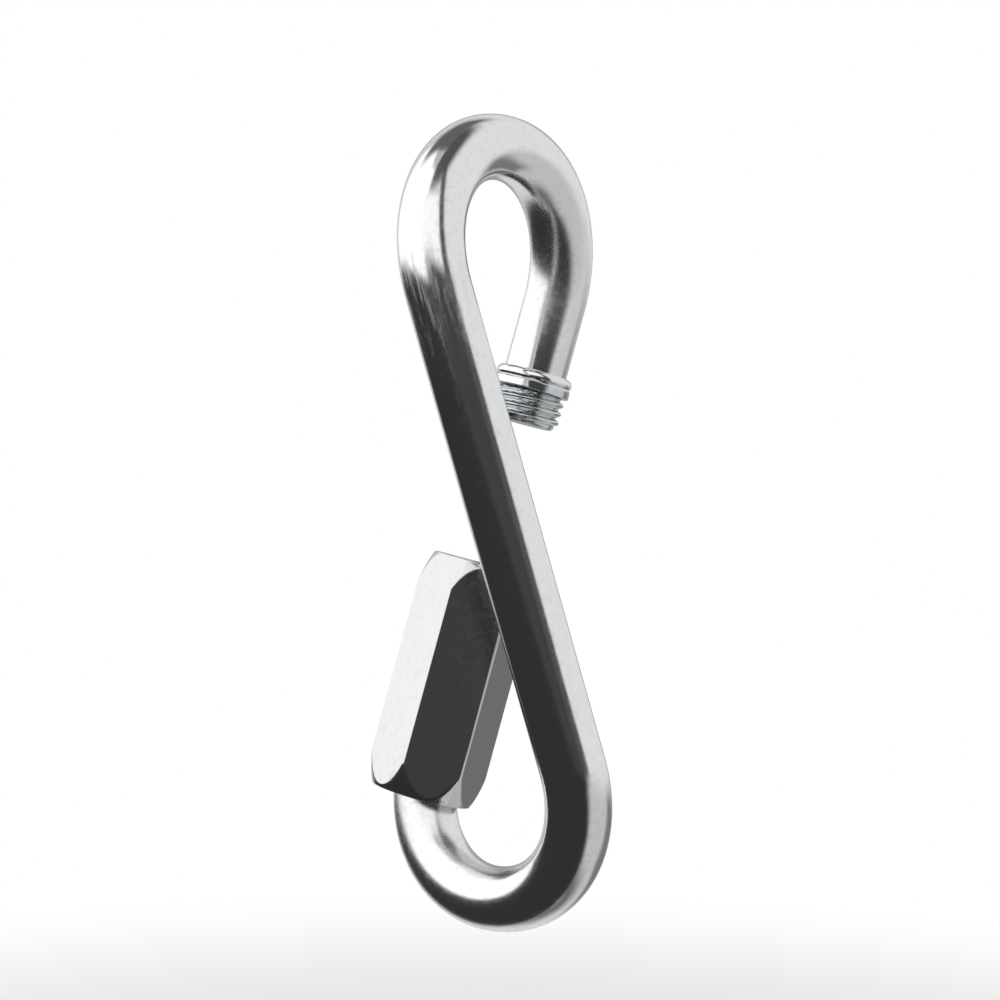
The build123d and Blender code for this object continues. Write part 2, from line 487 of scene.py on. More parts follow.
@dataclass(frozen=True)
class BrightZinc:
    """Bright zinc plate on steel, with its lines and mottle, darker on the threads, and painted
    shade in the collar's groove and seat.
    """

    name: str
    wear: Wear
    tint: Colour = (0.86, 0.87, 0.88, 1.0)
    shade: Colour = (0.70, 0.72, 0.74, 1.0)
    # darker tint on the threads; through the same share it is painted shade on the collar, deepest
    # at the seat and in the groove
    thread_and_shade_tint: Colour = (0.60, 0.635, 0.64, 1.0)
    roughness: float = 0.10
    line_scale: float = 2.2         # die lines per millimetre round the bar
    line_length: float = 0.10       # how far a line is drawn out: its width over its length
    line_detail: float = 3.0        # how many finer waves each noise has on top of its own
    ripple_scale: float = 0.22
    ripple_detail: float = 1.0
    mottle_scale: float = 1.6
    mottle_detail: float = 4.0
    line_height: float = 0.0030     # heights are in millimetres
    scuff_height: float = 0.011     # added where the rolls marked the bar
    scuff_mottle: float = 0.0022
    thread_smoothing: float = 0.8   # how much of its mottle a thread loses
    dull_band: Span = (0.42, 0.72)      # the mottle's values between which the plate turns dull
    streak_band: Span = (0.44, 0.66)    # the lines' values between which a scuff shows as a streak
    dull_shade: float = 0.35        # how far each of these takes the colour to the shade
    line_shade: float = 0.5
    thread_shade: float = 0.85
    dull_roughness: float = 0.07    # what each of these adds to the roughness
    line_roughness: float = 0.04
    streak_roughness: float = 0.20
    scuff_roughness: float = 0.05
    satin_roughness: float = 0.18
    thread_roughness: float = 0.06

    def material(self) -> bpy.types.Material:
        """Writes the material.

        Returns:
            The finished material.
        """
        made = bpy.data.materials.new(self.name)
        tree = Tree.of(made)
        place = self._attribute(tree, PLACE, "Vector")
        thread, scuff, satin = (self._attribute(tree, name) for name in (THREAD_AND_SHADE, SCUFF, SATIN))
        drawn_out = tree.vector("MULTIPLY", place, (1.0, 1.0, self.line_length))
        lines = self._noise(tree, drawn_out, self.line_scale, self.line_detail) - 0.5
        ripple = self._noise(tree, place, self.ripple_scale, self.ripple_detail) - 0.5
        mottle = self._noise(tree, place, self.mottle_scale, self.mottle_detail)

        mottled = scuff * self.scuff_mottle + self.wear.mottle_height
        height = (
            lines * (scuff * self.scuff_height + self.line_height)
            + (mottle - 0.5) * mottled * (1 - thread * self.thread_smoothing)
            + ripple * self.wear.ripple_height * (1 - thread)
        ) * METRES_PER_MM
        relief = {"Strength": 1.0, "Distance": 1.0, "Height": height}
        dull = tree.smooth_step(mottle, *self.dull_band)
        streak = tree.smooth_step(lines + 0.5, *self.streak_band) * scuff
        shaded = dull * self.dull_shade + lines * self.line_shade
        plate = self._mix(tree, shaded, self.tint, self.shade)
        # darker on the threads, and painted shade on the collar, where the thread share is set by
        # how deep a place lies
        colour = self._mix(tree, thread * self.thread_shade, plate, self.thread_and_shade_tint)
        roughness = (
            self.roughness
            + dull * self.dull_roughness
            + lines * self.line_roughness
            + streak * self.streak_roughness
            + scuff * self.scuff_roughness
            + satin * self.satin_roughness
            + thread * self.thread_roughness
        )
        plated = {
            "Base Color": colour,
            "Metallic": 1.0,
            "Roughness": roughness,
            "Normal": tree.sock("ShaderNodeBump", None, relief),
        }
        shader = tree.sock("ShaderNodeBsdfPrincipled", None, plated)
        tree.node("ShaderNodeOutputMaterial", None, {"Surface": shader})
        return made

    @staticmethod
    def _attribute(tree: Tree, name: str, out: str = "Fac") -> Sock:
        """One of the piece's own attributes."""
        return tree.sock("ShaderNodeAttribute", {"attribute_name": name}, out=out)

    @staticmethod
    def _noise(tree: Tree, place: Sock, scale: float, detail: float) -> Sock:
        """Soft noise from 0 to 1 at a number of waves per millimetre."""
        values = {"Vector": place, "Scale": scale, "Detail": detail, "Roughness": 0.5}
        return tree.sock("ShaderNodeTexNoise", {"noise_dimensions": "3D"}, values, "Fac")

    @staticmethod
    def _mix(tree: Tree, share: Sock, first: Sock | Colour, second: Sock | Colour) -> Sock:
        """A colour between two others."""
        values = {"Factor": tree.clamp(share), 6: first, 7: second}     # 6 and 7 are its colours
        return tree.sock("ShaderNodeMix", {"data_type": "RGBA"}, values, 2)


# ---- pieces
@dataclass(frozen=True)
class GuidePoint:
    """One ring of a piece: where it is and what its radius does there."""

    place: Vector
    numbers: Row


@dataclass
class Piece:
    """A piece that Geometry Nodes make from a guide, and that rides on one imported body."""

    name: str
    body: str
    node: str
    finish: BrightZinc
    screw: Screw
    sharp_angle: float = 35.0

    def guide_mesh(self, points: Sequence[GuidePoint], attributes: Sequence[str]) -> bpy.types.Mesh:
        """A chain of points with their numbers, for the piece's tree to read.

        Args:
            points: the chain, in order.
            attributes: a name for each of a point's numbers.

        Returns:
            The mesh.
        """
        mesh = bpy.data.meshes.new(self.name + "_guide")
        links = [(index, index + 1) for index in range(len(points) - 1)]
        mesh.from_pydata([point.place for point in points], links, [])
        for index, attribute in enumerate(attributes):
            made = mesh.attributes.new(attribute, "FLOAT", "POINT")
            made.data.foreach_set("value", [point.numbers[index] for point in points])
        return mesh

    def bake(self, guide: bpy.types.Mesh, tree: ShapeTree, sizes: Sizes) -> None:
        """Runs a tree on a guide, keeps the plain mesh, places it and hands it to the frame.

        Args:
            guide: the guide mesh.
            tree: the piece's tree.
            sizes: a value for each of the tree's named inputs.
        """
        maker = new_object(self.name + "_maker", guide)
        modifier = maker.modifiers.new("shape", "NODES")
        modifier.node_group = tree.nodes
        sockets = tree.nodes.interface.items_tree
        inputs = {s.name: s.identifier for s in sockets if s.in_out == "INPUT"}
        modifier[inputs["Finish"]] = self.finish.material()
        for size, value in sizes.items():
            modifier[inputs[size]] = value
        depsgraph = bpy.context.evaluated_depsgraph_get()
        mesh = bpy.data.meshes.new_from_object(maker.evaluated_get(depsgraph), depsgraph=depsgraph)
        bpy.data.objects.remove(maker)
        mesh.name = self.name
        mesh.transform(self.screw.leg.to_frame)
        mesh.update()
        piece = new_object(self.name, mesh)
        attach(piece, self.body)
        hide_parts(self.node)
        LOG.info("%s: %d faces, rides on %s", self.name, len(mesh.polygons), self.body)


def fine_steps(start: float, end: float, step: float) -> list[float]:
    """Even stations from start to end, no further apart than a step."""
    count = max(1, math.ceil(abs(end - start) / step - TINY))
    return [start + (end - start) * index / count for index in range(count + 1)]


def between(profile: Sequence[Row], station: float) -> Row:
    """A profile's numbers at a station, on the straight lines between its points.

    Args:
        profile: rows of a station and its numbers, in rising order.
        station: where to read it.

    Returns:
        The numbers there.
    """
    for low, high in zip(profile, profile[1:]):
        if low[0] <= station <= high[0]:
            share = (station - low[0]) / max(high[0] - low[0], TINY)
            return tuple(a + (b - a) * share for a, b in zip(low[1:], high[1:]))
    return tuple(profile[0][1:] if station < profile[0][0] else profile[-1][1:])


@dataclass
class BentBar(Piece):
    """The link's bar: two bows, a solid leg, and two threaded ends with the collar."""

    sides: int = 128
    thread_steps: int = 18          # rings in one pitch of thread
    bend_steps: int = 46            # rings in one bend
    plain_step: float = 2.0
    ring_gap: float = 0.004         # rings nearer than this are one
    bend_arc_step: float = 0.5      # about the length of bar between two rings in a bend
    scuff_reach: float = 11.0       # how far the rolls' marks run from the solid leg's upper end
    upper_satin: float = 0.9        # how satin the plate is where the upper bend leaves its thread
    crown_satin: float = 0.5        # the same at the lower bow's crown; by the nut it is all satin
    edge_break: float = 0.12        # rounding of turned edges
    collar_radius: float = 4.3
    collar_round: float = 0.7
    collar_groove: float = 0.2
    collar_groove_width: float = 0.5
    undercut: float = 0.35          # thread run-out below the collar
    arc_steps: int = 6              # rings on a rounded edge
    least_radius: float = 0.001     # a point's radius counts as at least this where it divides
    seat_painted_shade: float = 0.6         # thread shares on the collar, which darken it a little: painted shade, deepest at the seat and in the groove
    groove_painted_shade: float = 0.5
    shoulder_painted_shade: float = 0.2
    round_painted_shade: float = 0.1

    def build(self) -> None:
        """Makes the bar."""
        points = list(self._route())
        guide = self.guide_mesh(points, ("ring_radius", "ridge_room", THREAD_AND_SHADE, SCUFF, SATIN))
        sizes = {"Sides": self.sides}
        self.bake(guide, self._tree(sizes), sizes)

    def _turned_end(self, tip: float, run_out: float) -> list[Row]:
        """The profile of a threaded end: station, rod radius, room for the ridge, thread share.

        Args:
            tip: station of the end.
            run_out: station where the thread has died away.

        Returns:
            Profile rows from the tip on.
        """
        rod = self.screw.rod
        away = 1.0 if run_out > tip else -1.0
        foot = self.screw.crest - self.screw.tip_bevel
        ridge = self.screw.ridge_height
        return [
            (tip, foot, 0.0, 1.0),
            (tip + away * (rod - foot), rod, 0.0, 1.0),
            (tip + away * self.screw.tip_bevel, rod, ridge, 1.0),
            (run_out - away * self.undercut, rod, ridge, 1.0),
            (run_out, rod, 0.0, 1.0),
        ]

    def _collar_profile(self) -> list[Row]:
        """The collar and the plain rod above it, with broken edges and painted shade.

        Returns:
            Profile rows from the seat up.
        """
        rod = self.screw.rod
        seat, top = self.screw.collar
        full, groove = self.collar_radius, self.collar_radius - self.collar_groove
        middle, half = (seat + top) / 2, self.collar_groove_width / 2
        break_, round_ = self.edge_break, self.collar_round
        # painted shade on the collar: deepest at the seat, then in the groove, less on the
        # shoulders and the rounded edges
        rows = [(seat, full - break_, 0.0, self.seat_painted_shade)]
        rows += self._arc(seat + break_, full - break_, break_, 180.0, 90.0)
        rows += [
            (middle - half, full, 0.0, self.shoulder_painted_shade),
            (middle, groove, 0.0, self.groove_painted_shade),
            (middle + half, full, 0.0, self.shoulder_painted_shade),
        ]
        rows += self._arc(top - round_, full - round_, round_, 90.0, 0.0)
        rows += [(top + HAIR, rod, 0.0, 0.0)]
        return rows

    def _arc(
        self, station: float, radius: float, size: float, start: float, end: float
    ) -> list[Row]:
        """Profile rows round a rounded edge.

        Args:
            station: station of the arc's centre.
            radius: how far the arc's centre is from the leg's axis.
            size: the arc's own radius.
            start: angle where the arc starts, from straight up the leg, in degrees.
            end: angle where it ends.

        Returns:
            The rows, in order.
        """
        rows = []
        for step in range(self.arc_steps + 1):
            angle = math.radians(start + (end - start) * step / self.arc_steps)
            along, out = size * math.cos(angle), size * math.sin(angle)
            # a rounded edge gets the lightest painted shade
            rows.append((station + along, radius + out, 0.0, self.round_painted_shade))
        return rows

    def _rings(self, profile: Sequence[Row], thread: Span) -> list[float]:
        """Stations of a turned end's rings: every profile row, and close rings on the thread.

        Args:
            profile: the turned end's rows.
            thread: the stations between which the thread runs.

        Returns:
            The stations, in rising order.
        """
        low, high = sorted(thread)
        step = self.screw.pitch / self.thread_steps
        stations = [row[0] for row in profile] + fine_steps(low, high, step)
        ordered = sorted({round(station, STATION_DIGITS) for station in stations})
        return [a for a, b in zip(ordered, ordered[1:]) if b - a > self.ring_gap] + [ordered[-1]]

    def _plain(self, place: Vector, scuff: float = 0.0, satin: float = 0.0) -> GuidePoint:
        """A ring of the plain rod."""
        return GuidePoint(place, (self.screw.rod, 0.0, 0.0, scuff, satin))

    def _route(self) -> Iterator[GuidePoint]:
        """Every ring of the bar, from the upper threaded end round to the lower one.

        Yields:
            The rings, in order.
        """
        leg, screw = self.screw.leg, self.screw
        seat, top = screw.collar
        foot = seat - HAIR
        upper = self._turned_end(screw.upper_tip, foot) + self._collar_profile()
        for station in self._rings(upper, (screw.upper_tip, foot)):
            yield GuidePoint(Vector((0, 0, station)), (*between(upper, station), 0.0, 0.0))
        straight = fine_steps(top, screw.upper_bend, self.plain_step)[1:]
        for step, station in enumerate(straight, 1):
            satin = self.upper_satin * step / len(straight)
            yield self._plain(Vector((0, 0, station)), satin=satin)

        def ahead(start: Vector, end: Vector, reach: float) -> Vector:
            """The point a reach away from start, towards end."""
            return start + (end - start).normalized() * reach

        reach, nut_reach = leg.sizes.bow_reach, leg.sizes.nut_bend_reach
        solid_top = ahead(leg.upper_solid, leg.lower_solid, reach)
        solid_bottom = ahead(leg.lower_solid, leg.upper_solid, reach)
        screw_top = ahead(leg.upper_screw, leg.lower_screw, reach)
        screw_bottom = ahead(leg.lower_screw, leg.upper_screw, nut_reach)
        upper_bends = (
            Bend(screw_top, leg.upper_screw, leg.upper_apex),
            Bend(leg.upper_apex, leg.upper_solid, solid_top),
        )
        lower_bends = (
            Bend(solid_bottom, leg.lower_solid, leg.lower_apex),
            Bend(leg.lower_apex, leg.lower_screw, screw_bottom),
        )
        length = (solid_bottom - solid_top).length
        steps = self.bend_steps

        for step, place in enumerate(upper_bends[0].places(steps), 1):
            yield self._plain(leg.inward(place), satin=self.upper_satin * (1 - (step / steps) ** 2))
        for step, place in enumerate(upper_bends[1].places(steps), 1):
            run = (steps - step) * self.bend_arc_step
            yield self._plain(leg.inward(place), scuff=max(0.0, 1.0 - run / self.scuff_reach))
        for run in fine_steps(0.0, length, self.plain_step)[1:]:
            place = ahead(solid_top, solid_bottom, run)
            yield self._plain(leg.inward(place), scuff=max(0.0, 1.0 - run / self.scuff_reach))
        for step, place in enumerate(lower_bends[0].places(steps), 1):
            yield self._plain(leg.inward(place), satin=self.crown_satin * step / steps)
        for step, place in enumerate(lower_bends[1].places(steps), 1):
            satin = self.crown_satin + (1 - self.crown_satin) * step / steps
            yield self._plain(leg.inward(place), satin=satin)

        run_out = screw.lower_tip - screw.lower_thread
        lower = self._turned_end(screw.lower_tip, run_out)[::-1]
        for station in fine_steps(screw.lower_bend, run_out, self.plain_step)[1:-1]:
            yield self._plain(Vector((0, 0, station)), satin=1.0)
        for station in self._rings(lower, (run_out, screw.lower_tip)):
            yield GuidePoint(Vector((0, 0, station)), (*between(lower, station), 0.0, 0.0))

    def _tree(self, sizes: Sizes) -> ShapeTree:
        """Writes the bar's tree: sweeps a circle along the guide, then raises the thread's ridge.

        Args:
            sizes: the tree's named inputs, with a value for each.

        Returns:
            The tree.
        """
        tree = ShapeTree.start(self.name + "_shape", sizes)
        curve = tree.sock("GeometryNodeMeshToCurve", None, {"Mesh": tree.given("Guide")})
        curve = tree.store(curve, "run", tree.sock("GeometryNodeSplineParameter", out="Length"))
        size = {"Resolution": tree.given("Sides"), "Radius": 1.0}
        circle = tree.sock("GeometryNodeCurvePrimitiveCircle", None, size)
        position = tree.sock("GeometryNodeInputPosition")
        circle = tree.store(circle, "round", position, "FLOAT_VECTOR")
        sweep = {
            "Curve": curve,
            "Profile Curve": circle,
            "Scale": tree.read("ring_radius"),
            "Fill Caps": True,
        }
        swept = tree.sock("GeometryNodeCurveToMesh", None, sweep)
        x, y, station = tree.separate(position)
        angle = tree.maths("ARCTAN2", y, x)
        rod = self.screw.rod
        share = tree.clamp(self.screw.off_crest(tree, angle, station) / self.screw.ridge_half_width)
        ridge = tree.maths("COSINE", share * (math.pi / 2)) * self.screw.ridge_height
        lift = tree.maths("MINIMUM", ridge, tree.read("ridge_room"))
        radius = tree.maths("SQRT", x * x + y * y)
        grown = (radius + lift) / tree.maths("MAXIMUM", radius, self.least_radius)
        raised = tree.moved_to(swept, tree.combine(x * grown, y * grown, station))
        round_x, round_y, _ = tree.separate(tree.read("round", "FLOAT_VECTOR"))
        stock = tree.combine(round_x * rod, round_y * rod, tree.read("run"))
        tree.end(tree.store(raised, PLACE, stock, "FLOAT_VECTOR"), self.sharp_angle)
        return tree


@dataclass
class TurnedPiece(Piece):
    """A closed section carried round the leg, then given its flats and its thread."""

    columns: int = 192
    crowding: float = 0.75          # how much closer the columns stand at the hexagon's corners
    across_flats: float = 11.5
    corner_softness: float = 0.20
    cone_softness: float = 0.03
    rim_setback: float = 0.25
    end_taper: float = 15.0
    end_fullness: float = 0.66      # power of an end's rounding; 1 would be a plain cone
    lip_share: float = 0.85
    edge_break: float = 0.12
    lip_rounding: float = 0.26
    mouth_clearance: float = 0.20
    mouth_lead: float = 0.5
    bore_clearance: float = 0.12
    cone_step: float = 0.09
    flat_step: float = 1.5
    cone_margin: float = 0.3
    seam_width: float = 0.0002      # points nearer than this are one
    edge_steps: int = 4             # points on a rounded edge
    section: list[GuidePoint] = field(default_factory=list)

    @property
    def rim(self) -> float:
        """Radius of the rim of each end face."""
        return self.across_flats / 2 - self.rim_setback

    @property
    def blank(self) -> float:
        """Radius of the round blank, just outside the hexagon's corners."""
        return self.across_flats / math.sqrt(3) + self.cone_margin

    @property
    def cone_height(self) -> float:
        """Height of the long cone at each end."""
        return (self.blank - self.rim) / math.tan(math.radians(self.end_taper))

    @property
    def lip_top(self) -> float:
        """Station where the round lip ends and the hexagon begins."""
        rounded = (self.rim_setback / (self.blank - self.rim)) ** (1 / self.end_fullness)
        return self.screw.nut[0] + self.lip_share * rounded * self.cone_height

    @property
    def mouth(self) -> float:
        """Radius of the wide lower mouth, which clears the bent rod."""
        sizes, leg = self.screw.leg.sizes, self.screw.leg
        turn = (leg.upper_screw - leg.lower_screw).angle(Vector((0, 1, 0)))
        bend = sizes.nut_bend_reach / math.tan(turn / 2)
        inner = bend - sizes.rod_radius
        return bend - math.sqrt(inner**2 - self.screw.nut_overhang**2) + self.mouth_clearance

    def outside(self, station: float) -> float:
        """Radius of the round blank at a station, with its full, rounded ends.

        Args:
            station: height on the leg.

        Returns:
            The radius, in millimetres.
        """
        bottom, top = self.screw.nut
        height = min(station - bottom, top - station)
        share = min(max(height / self.cone_height, 0.0), 1.0)
        return self.rim + (self.blank - self.rim) * share**self.end_fullness

    def add(self, radius: float, station: float, outer: bool, threaded: bool = False) -> None:
        """Adds a point to the section."""
        numbers = (radius, station, float(outer), float(threaded))
        self.section.append(GuidePoint(Vector((radius, 0, station)), numbers))

    def add_edge(self, rim: float, face: float, size: float, turn: float) -> None:
        """Adds a point some degrees round an end face's edge; below a face, size is negative."""
        inward = abs(size) * (1 - math.cos(math.radians(turn)))
        self.add(rim - inward, face + size * (1 - math.sin(math.radians(turn))), False)

    def build(self) -> None:
        """Makes the piece from its section."""
        self.draw_section()
        self.section.append(self.section[0])
        guide = self.guide_mesh(self.section, ("radius", "station", "outer", "threaded"))
        sizes = {
            "Columns": self.columns,
            "Rows": len(self.section),
            "Across Flats": self.across_flats,
            "Corner Softness": self.corner_softness,
            "Flat Turn": self.screw.leg.flat_turn,
        }
        self.bake(guide, self._tree(sizes), sizes)

    def draw_section(self) -> None:
        """Draws the section's closed outline, outside first and upwards."""
        raise NotImplementedError

    def _tree(self, sizes: Sizes) -> ShapeTree:
        """Writes the tree: a grid of columns and rows, wrapped round the leg.

        Args:
            sizes: the tree's named inputs, with a value for each.

        Returns:
            The tree.
        """
        tree = ShapeTree.start(self.name + "_shape", sizes)
        columns, rows = tree.given("Columns"), tree.given("Rows")
        extent = {"Size X": 1.0, "Size Y": 1.0, "Vertices X": columns + 1, "Vertices Y": rows}
        grid = tree.sock("GeometryNodeMeshGrid", None, extent)
        index = tree.sock("GeometryNodeInputIndex")
        column = tree.maths("FLOOR", (index + 0.5) / rows)
        row = tree.maths("ROUND", index - column * rows)
        turn = column / columns * math.tau
        # Columns crowd together at the corners, a twelfth of a turn from the middle of each flat.
        crowd = tree.maths("SINE", turn * FLATS + math.pi) * (self.crowding / FLATS)
        off_flat = turn - crowd
        angle = off_flat + tree.given("Flat Turn")

        def sample(attribute: str) -> Sock:
            """A number of the section's point in this row.

            Args:
                attribute: the number's name.

            Returns:
                The number.
            """
            settings = {"data_type": "FLOAT", "domain": "POINT"}
            values = {"Geometry": tree.given("Guide"), "Value": tree.read(attribute), "Index": row}
            return tree.sock("GeometryNodeSampleIndex", settings, values)

        names = ("station", "radius", "outer", "threaded")
        station, drawn, outer, threaded = (sample(name) for name in names)
        flats = self._hexagon(tree, off_flat)
        softness = self.cone_softness
        overlap = tree.clamp((softness - tree.maths("ABSOLUTE", drawn - flats)) / softness)
        milled = tree.maths("MINIMUM", drawn, flats) - overlap * overlap * (softness / 4)

        screw = self.screw
        clearance = screw.clearance * math.sqrt(1 + math.tan(math.radians(90 - screw.flank)) ** 2)
        slope = screw.flank_height(screw.off_crest(tree, angle, station))
        flank = slope + (screw.crest + clearance)
        tapped = tree.maths("MINIMUM", flank, screw.crest + screw.clearance)
        bored = tree.maths("MAXIMUM", drawn, tree.blend(threaded, drawn, tapped))
        radius = tree.blend(outer, bored, milled)

        x, y = radius * tree.maths("COSINE", angle), radius * tree.maths("SINE", angle)
        place = tree.combine(x, y, station)
        wrapped = tree.store(tree.moved_to(grid, place), THREAD_AND_SHADE, threaded)
        wrapped = tree.store(wrapped, PLACE, place, "FLOAT_VECTOR")
        merging = {"Geometry": wrapped, "Distance": self.seam_width}
        closed = tree.sock("GeometryNodeMergeByDistance", None, merging)
        tree.end(closed, self.sharp_angle)
        return tree

    def _hexagon(self, tree: ShapeTree, off_flat: Sock) -> Sock:
        """Radius of the hexagon with softened corners.

        Args:
            tree: the tree to write in.
            off_flat: angle from the middle of a flat, in radians.

        Returns:
            The radius, in millimetres.
        """
        sector = math.tau / FLATS
        folded = tree.maths("PINGPONG", off_flat, sector / 2)
        facing = tree.maths("COSINE", folded)
        next_facing = tree.maths("COSINE", sector - folded)
        apothem = tree.given("Across Flats") / 2
        softness = tree.given("Corner Softness")
        overlap = tree.clamp((softness - apothem * (1 - next_facing / facing)) / softness)
        return (apothem - overlap * overlap * softness / 4) / facing


@dataclass
class HexagonSleeve(TurnedPiece):
    """The nut's long hexagon, tapped through, with its mouth bored out."""

    thread_steps: int = 10
    countersink: float = 0.55
    sink_margin: float = 0.05       # from the thread's root out to the countersink's foot

    def draw_section(self) -> None:
        """Draws the hexagon's section from the lip up, over the top and down the bore."""
        bottom, top = self.screw.nut
        break_ = self.edge_break
        cone = self.cone_height
        foot = math.sqrt((self.lip_top - bottom) / cone)
        for share in fine_steps(foot, 1.0, self.cone_step / cone):
            station = bottom + cone * share * share
            self.add(self.outside(station), station, True)
        for station in fine_steps(bottom + cone, top - cone, self.flat_step)[1:-1]:
            self.add(self.outside(station), station, True)
        for share in fine_steps(1.0, math.sqrt(break_ / cone), self.cone_step / cone):
            station = top - cone * share * share
            self.add(self.outside(station), station, True)
        rim = self.outside(top - break_)
        for step in range(1, self.edge_steps + 1):
            self.add_edge(rim, top, -break_, 90 * step / self.edge_steps)
        bore = self.screw.rod + self.bore_clearance
        groove = self.screw.crest + self.screw.clearance
        mouth_top = self.screw.lower_bend - self.mouth_lead
        self.add((rim + groove) / 2 + self.countersink / 2, top, False)
        self.add(groove + self.sink_margin, top, False)
        sink = groove + self.sink_margin - bore
        step = self.screw.pitch / self.thread_steps
        for station in fine_steps(top - 2 * HAIR, mouth_top + HAIR, step):
            self.add(bore + max(sink - (top - station), 0.0), station, False, True)
        self.add(self.mouth, mouth_top, False)
        self.add(self.mouth, self.lip_top, False)


@dataclass
class SleeveLip(TurnedPiece):
    """The nut's round lower lip, which continues the hexagon's turned cone."""

    edge_steps: int = 6

    def draw_section(self) -> None:
        """Draws the ring's section: up the cone, across its hidden top and down the mouth."""
        bottom = self.screw.nut[0]
        round_, break_ = self.lip_rounding, self.edge_break
        rim = self.outside(bottom + round_)
        for step in range(self.edge_steps + 1):
            self.add_edge(rim, bottom, round_, 90 * (1 - step / self.edge_steps))
        for station in fine_steps(bottom + round_, self.lip_top, self.cone_step)[1:]:
            self.add(self.outside(station), station, False)
        self.add(self.mouth, self.lip_top, False)
        self.add(self.mouth, bottom + break_, False)
        self.add(self.mouth + break_, bottom, False)


# ---- the studio
@dataclass(frozen=True)
class Panel:
    """A patch of the studio's walls, placed by where it stands as seen from the object.

    Azimuths are measured from the camera's side, to the right as the camera sees it, in degrees.
    """

    azimuth: Span
    elevation: Span
    brightness: float
    soft_side: float                # how far each side fades, in degrees
    soft_edge: float                # the same for the upper and the lower edge


@dataclass
class Studio:
    """A plain pale floor, soft light from all round, and the camera."""

    centre: Vector                  # what the camera looks at, in metres
    azimuth: float = -50.294        # of the camera about the object, in degrees
    elevation: float = 2.011
    distance: float = 0.261925
    roll: float = 0.482
    aside: float = 0.000469
    above: float = 0.002653
    lens: float = 87.69             # lens and sensor are in millimetres, as a camera's are
    sensor: float = 36.0
    clip: Span = (0.01, 10.0)
    floor_drop: float = 0.040       # the floor lies this far below the link
    floor_radius: float = 0.60
    floor_sides: int = 96
    floor_fade: Span = (0.14, 0.24)     # distances between which the floor fades into white
    floor_colour: Colour = (0.93, 0.93, 0.93, 1.0)
    wall: float = 0.55              # brightness of the plain walls
    backdrop_radius: float = 1.8
    backdrop_sides: int = 48
    lamp_power: float = 1.2
    lamp_size: float = 0.5
    lamp_distance: float = 0.9
    lamp_aside: float = -60.0       # from the camera's azimuth, in degrees
    lamp_elevation: float = 58.0
    panels: tuple[Panel, ...] = (
        Panel((36.0, 178.0), (-24.0, 60.0), 0.82, 8.0, 16.0),       # right wall
        Panel((38.0, 176.0), (-90.0, -6.0), 0.58, 10.0, 22.0),      # low on the right
        Panel((-206.0, -154.0), (-78.0, 40.0), 0.74, 24.0, 20.0),   # behind
        Panel((116.0, 164.0), (-42.0, -7.0), 0.20, 22.0, 10.0),     # recess on the right
        Panel((36.0, 214.0), (-90.0, -66.0), 0.14, 20.0, 26.0),     # below
        Panel((156.0, 196.0), (-16.0, 24.0), 0.34, 14.0, 12.0),     # rear edge
        Panel((-24.0, 160.0), (63.0, 90.0), 0.09, 16.0, 12.0),      # ceiling
        Panel((-142.0, 40.0), (-14.0, 2.0), 0.12, 14.0, 8.0),       # skirting
        Panel((-144.0, 40.0), (-90.0, -6.0), 0.032, 22.0, 9.0),     # dark front
        Panel((-30.0, 50.0), (-7.0, 17.0), 0.055, 20.0, 10.0),      # dark behind the camera
        Panel((-146.0, -26.0), (0.0, 74.0), 1.25, 14.0, 4.0),       # soft box
        Panel((-34.0, 34.0), (18.0, 58.0), 1.1, 8.0, 8.0),          # the soft box's front
        Panel((-206.0, -122.0), (48.0, 90.0), 0.13, 24.0, 12.0),    # high behind
        Panel((33.0, 52.0), (-2.0, 90.0), 0.09, 8.0, 8.0),          # dark post
    )

    def build(self) -> None:
        """Sets up the studio."""
        scene = bpy.context.scene
        scene.view_settings.view_transform = "Standard"
        self._light()
        self._floor()
        self._backdrop()
        self._key_light()
        self._camera()
        away = self.distance / METRES_PER_MM
        LOG.info("studio: %d panels, camera %.1f mm away", len(self.panels), away)

    def _outward(self, azimuth: float, elevation: float) -> Vector:
        """The direction from the object to a place given by azimuth and elevation in degrees."""
        a, e = math.radians(azimuth), math.radians(elevation)
        return Vector((math.sin(a) * math.cos(e), -math.cos(a) * math.cos(e), math.sin(e)))

    def _light(self) -> None:
        """Writes the world: a grey room with its panels laid over each other in order."""
        world = bpy.data.worlds.new("studio_room")
        tree = Tree.of(world)
        towards = tree.sock("ShaderNodeTexCoord", out="Generated")
        height = tree.separate(tree.vector("NORMALIZE", towards))[2]
        elevation = tree.maths("DEGREES", tree.maths("ARCSINE", height))
        light: Operand = self.wall
        for panel in self.panels:
            share = self._panel_share(tree, panel, towards, elevation)
            light = tree.blend(share, light, panel.brightness)
        grey = tree.combine(light, light, light)
        glow = tree.sock("ShaderNodeBackground", None, {"Color": grey, "Strength": 1.0})
        tree.node("ShaderNodeOutputWorld", None, {"Surface": glow})
        bpy.context.scene.world = world

    def _panel_share(self, tree: Tree, panel: Panel, towards: Sock, elevation: Sock) -> Sock:
        """How far a panel covers a direction.

        Args:
            tree: the tree to write in.
            panel: the panel.
            towards: the direction.
            elevation: how far the direction rises, in degrees.

        Returns:
            The share, from 0 to 1.
        """
        middle = self.azimuth + sum(panel.azimuth) / 2
        half = (panel.azimuth[1] - panel.azimuth[0]) / 2
        facing = self._outward(middle, 0.0)
        aside = self._outward(middle + 90.0, 0.0)
        forward = tree.vector("DOT_PRODUCT", towards, tuple(facing), out="Value")
        sideways = tree.vector("DOT_PRODUCT", towards, tuple(aside), out="Value")
        off = tree.maths("DEGREES", tree.maths("ARCTAN2", sideways, forward))
        low, high = panel.elevation
        soft, edge = panel.soft_side / 2, panel.soft_edge / 2
        across = 1 - tree.smooth_step(tree.maths("ABSOLUTE", off), half - soft, half + soft)
        above = tree.smooth_step(elevation, low - edge, low + edge)
        below = 1 - tree.smooth_step(elevation, high - edge, high + edge)
        return across * above * below

